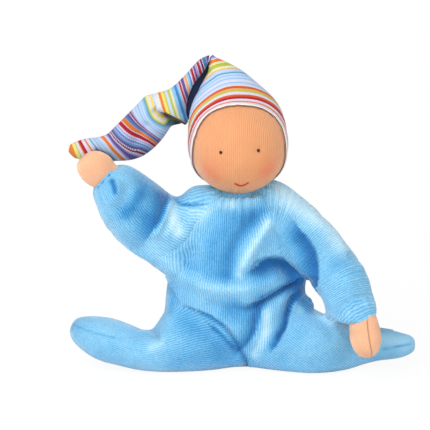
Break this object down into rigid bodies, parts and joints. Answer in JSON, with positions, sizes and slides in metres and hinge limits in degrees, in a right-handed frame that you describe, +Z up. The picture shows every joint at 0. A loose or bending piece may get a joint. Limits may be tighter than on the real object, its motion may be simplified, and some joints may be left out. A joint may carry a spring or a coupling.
{
  "type": "cloth doll",
  "caption": "Soft sitting doll in a velour romper with long limbs, jersey face and hands, and a striped stocking cap whose tail falls behind its raised hand.",
  "frame": {"origin": "on the flat seat that the doll sits on, in the middle of its width, under the neck", "axes": "+X towards the doll's left hand, along its spread legs, +Y out of its back and +Z up"},
  "size_m": [0.2561, 0.0928, 0.2348],
  "materials": {
    "velour": "light blue cotton velour with a soft ribbed nap",
    "face_jersey": "skin-coloured fine cotton jersey with vertical ribs",
    "striped_jersey": "soft cotton jersey knitted in narrow many-coloured stripes",
    "stuffing_wool": "loose white wool filling",
    "blue_thread": "matte gathering thread",
    "cream_thread": "matte tying thread",
    "red_thread": "matte embroidery thread",
    "brown_thread": "matte embroidery thread"
  },
  "bodies": {
    "torso": {"romper_front": "velour", "romper_back": "velour", "body_stuffing": "stuffing_wool", "collar_thread": "blue_thread"},
    "neck": {"neck_stub": "face_jersey", "neck_tie": "cream_thread"},
    "head": {"eye_right": "brown_thread", "eye_left": "brown_thread", "mouth_stitch": "red_thread", "head_skin": "face_jersey", "head_wool": "stuffing_wool", "cap_crown": "striped_jersey", "cap_hem": "striped_jersey"},
    "tail": {"cap_tail": "striped_jersey", "tail_wool": "stuffing_wool"},
    "right_arm": {"sleeve_right": "velour", "hand_right": "face_jersey", "hand_wool_right": "stuffing_wool", "arm_wool_right": "stuffing_wool", "cuff_thread_right": "blue_thread"},
    "left_arm": {"sleeve_left": "velour", "hand_left": "face_jersey", "hand_wool_left": "stuffing_wool", "arm_wool_left": "stuffing_wool", "cuff_thread_left": "blue_thread"},
    "right_leg": {"leg_right": "velour", "leg_wool_right": "stuffing_wool"},
    "left_leg": {"leg_left": "velour", "leg_wool_left": "stuffing_wool"}
  },
  "joints": [
    {"name": "head_turn", "type": "hinge", "parent": "torso", "child": "neck", "pos_m": [0, 0, 0.1305], "axis": [0, 0, -1], "range_deg": [-8, 50]},
    {"name": "head_nod", "type": "hinge", "parent": "neck", "child": "head", "pos_m": [0, 0, 0.137], "axis": [1, 0, 0], "range_deg": [-12, 12]},
    {"name": "right_shoulder", "type": "hinge", "parent": "torso", "child": "right_arm", "pos_m": [-0.037, 0.002, 0.101], "axis": [0, 1, 0], "range_deg": [-70, 15]},
    {"name": "left_shoulder", "type": "hinge", "parent": "torso", "child": "left_arm", "pos_m": [0.037, 0.002, 0.101], "axis": [0, -1, 0], "range_deg": [0, 80]},
    {"name": "right_hip", "type": "hinge", "parent": "torso", "child": "right_leg", "pos_m": [-0.033, -0.006, 0.0245], "axis": [0, 0, 1], "range_deg": [-10, 45]},
    {"name": "left_hip", "type": "hinge", "parent": "torso", "child": "left_leg", "pos_m": [0.033, -0.006, 0.0245], "axis": [0, 0, -1], "range_deg": [-10, 5]},
    {"name": "cap_tail_swing", "type": "hinge", "parent": "head", "child": "tail", "pos_m": [-0.049, 0.007, 0.192], "axis": [0, 1, 0], "range_deg": [-28, 6]}
  ],
  "couplings": [
    {"joint": "cap_tail_swing", "follows": "right_shoulder", "ratio": 0.4}
  ]
}
